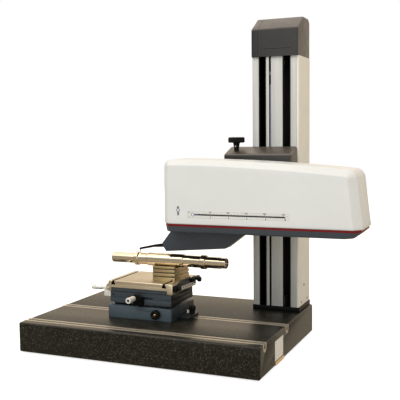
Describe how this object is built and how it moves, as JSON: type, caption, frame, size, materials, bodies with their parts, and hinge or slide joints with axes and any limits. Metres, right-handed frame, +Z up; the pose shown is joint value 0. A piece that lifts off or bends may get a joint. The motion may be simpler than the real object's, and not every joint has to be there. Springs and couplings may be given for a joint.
{
  "type": "surface profilometer",
  "caption": "Bench contour measuring station: granite plate, motorised column with height carriage, tilting traverse unit with probe arm, and a cross table with tilt, V-block and shaft.",
  "frame": {"origin": "on the standing plane, under the middle of the granite plate", "axes": "+X to the right along the plate's front edge, +Y from the front edge to the column, +Z up"},
  "size_m": [0.914, 0.506, 0.928],
  "materials": {
    "granite": "honed black granite, fine grain",
    "rubber": "matte",
    "rail_steel": "ground",
    "black_steel": "satin black",
    "column_aluminium": "satin anodised",
    "machined_aluminium": "milled",
    "side_panel": "fine texture cream",
    "dark_plastic": "moulded black",
    "guide_steel": "ground and hardened",
    "cap_plastic": "fine texture charcoal",
    "table_paint": "satin dark blue-grey",
    "carriage_paint": "fine texture warm grey",
    "brass_nut": "turned",
    "white_cover": "painted off-white",
    "red_trim": "dark red",
    "slate_pan": "fine texture slate",
    "window_plastic": "printed clear strip",
    "scale_glass": "clear",
    "black_arm": "satin black",
    "ground_steel": "ground",
    "thimble_chrome": "satin chrome",
    "polished_shaft": "fine turned and polished"
  },
  "bodies": {
    "stand": {"granite_plate": "granite", "rubber_feet": "rubber", "t_rail_front": "rail_steel", "t_rail_rear": "rail_steel", "column_foot": "black_steel", "column_profile": "column_aluminium", "column_cover_strip": "column_aluminium", "limit_rod": "dark_plastic", "column_side_panel": "side_panel", "column_top_plate": "machined_aluminium", "vertical_guides": "black_steel", "height_screw_bearings": "machined_aluminium", "height_motor": "black_steel", "column_cap": "cap_plastic", "connector_plate": "black_steel", "table_base": "table_paint", "hinge_pin": "guide_steel", "base_clamp": "table_paint"},
    "height_screw": {"height_screw": "guide_steel"},
    "carriage": {"carriage_cover": "carriage_paint", "carrier_plate": "machined_aluminium", "saddle": "machined_aluminium", "guide_shoes": "guide_steel", "height_nut": "brass_nut", "tilt_hub": "machined_aluminium"},
    "clamp_knob": {"clamp_knob": "dark_plastic", "clamp_spindle": "guide_steel"},
    "drive_unit": {"tilt_flange": "machined_aluminium", "drive_beam": "machined_aluminium", "drive_cover": "white_cover", "trim_frame": "red_trim", "drive_pan": "slate_pan", "scale_window": "window_plastic", "traverse_rail": "guide_steel", "glass_scale": "scale_glass", "screw_bearings": "machined_aluminium", "traverse_motor": "black_steel"},
    "traverse_screw": {"traverse_screw": "guide_steel"},
    "traverse": {"traverse_slide": "machined_aluminium", "traverse_nut": "brass_nut", "reading_head": "dark_plastic", "probe_housing": "slate_pan", "pivot_pin": "guide_steel"},
    "probe": {"probe_arm": "black_arm", "stylus_tip": "guide_steel"},
    "tilt_stage": {"tilt_block": "table_paint", "tilt_pad": "ground_steel", "front_micrometer": "table_paint"},
    "tilt_wedge": {"tilt_wedge": "ground_steel"},
    "tilt_knob": {"tilt_knob": "dark_plastic", "tilt_screw": "brass_nut"},
    "cross_slide": {"cross_slide": "table_paint", "left_micrometer": "table_paint"},
    "front_thimble": {"front_thimble": "thimble_chrome"},
    "table_top": {"table_top": "ground_steel", "side_stop_bar": "ground_steel", "v_block": "ground_steel"},
    "left_thimble": {"left_thimble": "thimble_chrome"},
    "workpiece": {"workpiece_shaft": "polished_shaft"},
    "base_clamp_knob": {"base_clamp_knob": "dark_plastic"}
  },
  "joints": [
    {"name": "height_slide", "type": "slide", "parent": "stand", "child": "carriage", "axis": [0, 0, 1], "range_m": [0, 0.245]},
    {"name": "height_screw_turn", "type": "hinge", "parent": "stand", "child": "height_screw", "pos_m": [0.26925, 0.1654, 0.4], "axis": [0, 0, 1], "range_deg": [0, 17660]},
    {"name": "tilt_clamp_turn", "type": "hinge", "parent": "carriage", "child": "clamp_knob", "pos_m": [0.166, 0.098, 0.573], "axis": [0, 0, -1], "range_deg": [0, 180]},
    {"name": "head_tilt", "type": "hinge", "parent": "carriage", "child": "drive_unit", "pos_m": [0.236, 0.04, 0.447], "axis": [0, 1, 0], "range_deg": [0, 35]},
    {"name": "traverse_feed", "type": "slide", "parent": "drive_unit", "child": "traverse", "axis": [1, 0, 0], "range_m": [0, 0.26]},
    {"name": "traverse_screw_turn", "type": "hinge", "parent": "drive_unit", "child": "traverse_screw", "pos_m": [0.28, -0.046, 0.478], "axis": [1, 0, 0], "range_deg": [0, 18740]},
    {"name": "probe_swing", "type": "hinge", "parent": "traverse", "child": "probe", "pos_m": [0.15, -0.03, 0.301], "axis": [0, 1, 0], "range_deg": [0, 3]},
    {"name": "base_clamp_turn", "type": "hinge", "parent": "stand", "child": "base_clamp_knob", "pos_m": [0.074, -0.02, 0.105], "axis": [0, 0, 1], "range_deg": [0, 180]},
    {"name": "table_tilt", "type": "hinge", "parent": "stand", "child": "tilt_stage", "pos_m": [-0.14, -0.027, 0.12425], "axis": [0, 1, 0], "range_deg": [0, 1.5]},
    {"name": "wedge_slide", "type": "slide", "parent": "stand", "child": "tilt_wedge", "axis": [0, -1, 0], "range_m": [0, 0.0246]},
    {"name": "tilt_knob_turn", "type": "hinge", "parent": "stand", "child": "tilt_knob", "pos_m": [0.002, -0.11, 0.105], "axis": [0, -1, 0], "range_deg": [0, 8840]},
    {"name": "table_y", "type": "slide", "parent": "tilt_stage", "child": "cross_slide", "axis": [0, 1, 0], "range_m": [-0.0125, 0.0125]},
    {"name": "front_thimble_turn", "type": "hinge", "parent": "cross_slide", "child": "front_thimble", "pos_m": [-0.05, -0.15, 0.152], "axis": [0, 1, 0], "range_deg": [-4510, 4510]},
    {"name": "table_x", "type": "slide", "parent": "cross_slide", "child": "table_top", "axis": [1, 0, 0], "range_m": [-0.0125, 0.0125]},
    {"name": "left_thimble_turn", "type": "hinge", "parent": "table_top", "child": "left_thimble", "pos_m": [-0.2, -0.082, 0.1645], "axis": [1, 0, 0], "range_deg": [-4510, 4510]},
    {"name": "workpiece_turn", "type": "hinge", "parent": "table_top", "child": "workpiece", "pos_m": [0, -0.03, 0.245], "axis": [1, 0, 0], "continuous": true}
  ],
  "couplings": [
    {"joint": "height_screw_turn", "follows": "height_slide", "rad_per_m": 1256.6},
    {"joint": "traverse_screw_turn", "follows": "traverse_feed", "rad_per_m": 1256.6},
    {"joint": "wedge_slide", "follows": "table_tilt", "m_per_rad": 0.93583},
    {"joint": "tilt_knob_turn", "follows": "table_tilt", "ratio": 5880},
    {"joint": "front_thimble_turn", "follows": "table_y", "rad_per_m": 6283.2},
    {"joint": "left_thimble_turn", "follows": "table_x", "rad_per_m": 6283.2}
  ]
}
